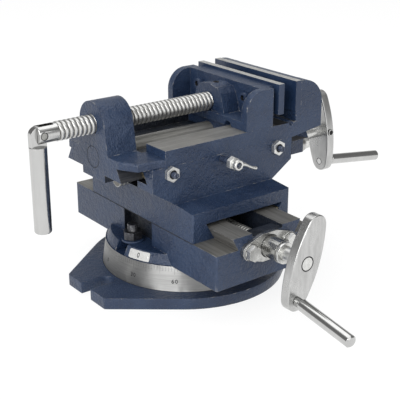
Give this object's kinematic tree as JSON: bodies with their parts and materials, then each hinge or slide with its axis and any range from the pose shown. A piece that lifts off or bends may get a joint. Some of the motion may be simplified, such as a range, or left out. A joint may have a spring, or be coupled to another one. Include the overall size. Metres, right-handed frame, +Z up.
{
  "type": "cross slide vise",
  "caption": "Drill press vise on two crossed dovetail slides with crank-driven screws, a folding-handle clamping screw and a graduated swivel base.",
  "frame": {"origin": "swivel axis in the plane of the base's underside", "axes": "+Z up along the swivel axis, +X along the vise screw towards the fixed jaw, -Y towards the lower slide's crank; the two table slots lie on X"},
  "size_m": [0.4339, 0.3595, 0.1905],
  "materials": {
    "black_oxide": "black oxide",
    "blue_paint": "satin enamel on cast iron",
    "bright_plating": "polished plating",
    "bright_steel": "turned",
    "bronze": "turned bronze",
    "jaw_steel": "satin enamel over ground steel",
    "plate_white": "printed plate",
    "zinc_plating": "bright zinc"
  },
  "bodies": {
    "base": {"swivel_base": "blue_paint"},
    "lower_slide": {"lower_slide": "blue_paint", "swivel_pivot": "bright_steel", "swivel_t_bolts": "black_oxide", "swivel_nuts": "black_oxide", "swivel_washers": "black_oxide", "index_plate": "plate_white", "lower_screw_bracket": "zinc_plating", "lower_screw_bush": "bronze", "lower_grub_screw": "black_oxide", "lower_bracket_washers": "zinc_plating", "lower_bracket_bolts": "zinc_plating"},
    "lower_screw": {"lower_lead_screw": "bright_steel", "lower_thrust_collar": "bright_steel", "lower_crank_arm": "bright_plating", "lower_crank_set_screw": "black_oxide", "lower_crank_grip": "bright_plating"},
    "saddle": {"saddle": "blue_paint", "upper_gib": "bright_steel", "lower_gib": "bright_steel", "upper_gib_screws": "black_oxide", "upper_gib_nuts": "zinc_plating", "lower_gib_screws": "black_oxide", "lower_gib_nuts": "zinc_plating", "upper_screw_nut": "bronze", "lower_screw_nut": "bronze", "lower_nut_screws": "zinc_plating", "upper_nut_screws": "zinc_plating"},
    "slide_lock": {"lock_screw": "black_oxide", "lock_lever": "zinc_plating"},
    "vise_body": {"vise_body": "blue_paint", "fixed_jaw_plate": "jaw_steel", "fixed_jaw_screws": "zinc_plating", "guide_bar": "bright_steel", "upper_screw_bracket": "zinc_plating", "upper_screw_bush": "bronze", "upper_grub_screw": "black_oxide", "upper_bracket_washers": "zinc_plating", "upper_bracket_bolts": "zinc_plating"},
    "upper_screw": {"upper_lead_screw": "bright_steel", "upper_thrust_collar": "bright_steel", "upper_crank_arm": "bright_plating", "upper_crank_set_screw": "black_oxide", "upper_crank_grip": "bright_plating"},
    "movable_jaw": {"movable_jaw": "blue_paint", "movable_jaw_plate": "jaw_steel", "movable_jaw_screws": "zinc_plating", "screw_retaining_pins": "zinc_plating"},
    "vise_screw": {"vise_screw": "bright_steel", "handle_hinge_pin": "bright_steel"},
    "vise_handle": {"vise_handle": "bright_plating"}
  },
  "joints": [
    {"name": "turntable_swivel", "type": "hinge", "parent": "base", "child": "lower_slide", "pos_m": [0, 0, 0.035], "axis": [0, 0, 1], "continuous": true},
    {"name": "lower_crank_turn", "type": "hinge", "parent": "lower_slide", "child": "lower_screw", "pos_m": [0, -0.1225, 0.0655], "axis": [0, 1, 0], "range_deg": [-6120, 6120]},
    {"name": "saddle_travel", "type": "slide", "parent": "lower_slide", "child": "saddle", "axis": [0, 1, 0], "range_m": [-0.0595, 0.0595]},
    {"name": "slide_lock_turn", "type": "hinge", "parent": "saddle", "child": "slide_lock", "pos_m": [-0.0045, -0.07, 0.1315], "axis": [0, 1, 0], "range_deg": [-90, 90]},
    {"name": "vise_travel", "type": "slide", "parent": "saddle", "child": "vise_body", "axis": [1, 0, 0], "range_m": [-0.028, 0.0455]},
    {"name": "upper_crank_turn", "type": "hinge", "parent": "vise_body", "child": "upper_screw", "pos_m": [0.128, 0, 0.1095], "axis": [1, 0, 0], "range_deg": [-2880, 4680]},
    {"name": "jaw_travel", "type": "slide", "parent": "vise_body", "child": "movable_jaw", "axis": [1, 0, 0], "range_m": [-0.095, 0.015]},
    {"name": "vise_screw_turn", "type": "hinge", "parent": "movable_jaw", "child": "vise_screw", "pos_m": [0.02, 0, 0.1677], "axis": [1, 0, 0], "range_deg": [-7600, 1200]},
    {"name": "handle_fold", "type": "hinge", "parent": "vise_screw", "child": "vise_handle", "pos_m": [-0.1557, 0, 0.1677], "axis": [0, 1, 0], "range_deg": [0, 180]}
  ],
  "couplings": [
    {"joint": "lower_crank_turn", "follows": "saddle_travel", "rad_per_m": -1795.2},
    {"joint": "upper_crank_turn", "follows": "vise_travel", "rad_per_m": 1795.2},
    {"joint": "jaw_travel", "follows": "vise_screw_turn", "m_per_rad": 0.00071619}
  ]
}
